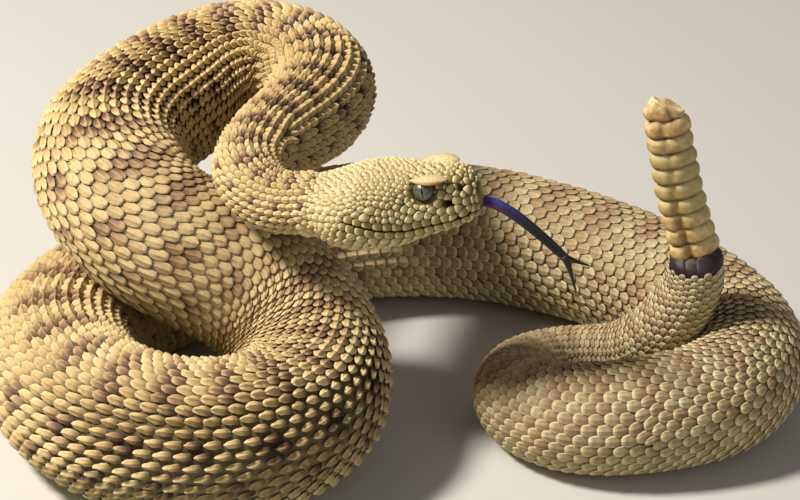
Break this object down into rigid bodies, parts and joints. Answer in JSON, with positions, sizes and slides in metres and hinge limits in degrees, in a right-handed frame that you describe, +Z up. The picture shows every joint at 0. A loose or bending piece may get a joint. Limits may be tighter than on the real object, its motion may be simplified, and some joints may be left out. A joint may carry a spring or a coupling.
{
  "type": "western rattlesnake",
  "caption": "Life-size still model of a western rattlesnake, coiled on the ground with the forebody raised in a loop, tongue out and rattle held up.",
  "frame": {"origin": "on the floor, under the middle of the model's box", "axes": "+X the way the head faces, +Y to the animal's left, +Z up"},
  "size_m": [0.2139, 0.1449, 0.0914],
  "materials": {
    "skin": "keeled scales, straw yellow with brown blotches, satin",
    "eye": "wet gloss, grey-olive iris with an upright pupil",
    "tongue": "moist, blue at the root and black at the tips",
    "tail_ring": "dark scaled ring, satin",
    "rattle": "horn, tan with orange-brown grooves"
  },
  "bodies": {
    "root": {"neck": "skin", "neck_bend": "skin", "body_shoulder": "skin", "body_top_arch": "skin", "body_left_loop": "skin", "body_slope": "skin", "body_front_bend": "skin", "body_front_left": "skin", "body_left_bend": "skin", "body_under_run": "skin", "body_back_left": "skin", "body_back_right": "skin", "body_right_bend": "skin", "body_front_right": "skin", "tail_bend": "skin", "tail": "skin", "head": "skin", "lower_jaw": "skin", "eye_left": "eye", "eye_right": "eye", "tongue": "tongue", "tail_ring": "tail_ring", "rattle_01": "rattle", "rattle_02": "rattle", "rattle_03": "rattle", "rattle_04": "rattle", "rattle_05": "rattle", "rattle_06": "rattle", "rattle_07": "rattle", "rattle_08": "rattle", "rattle_09": "rattle", "rattle_10": "rattle"}
  },
  "joints": []
}
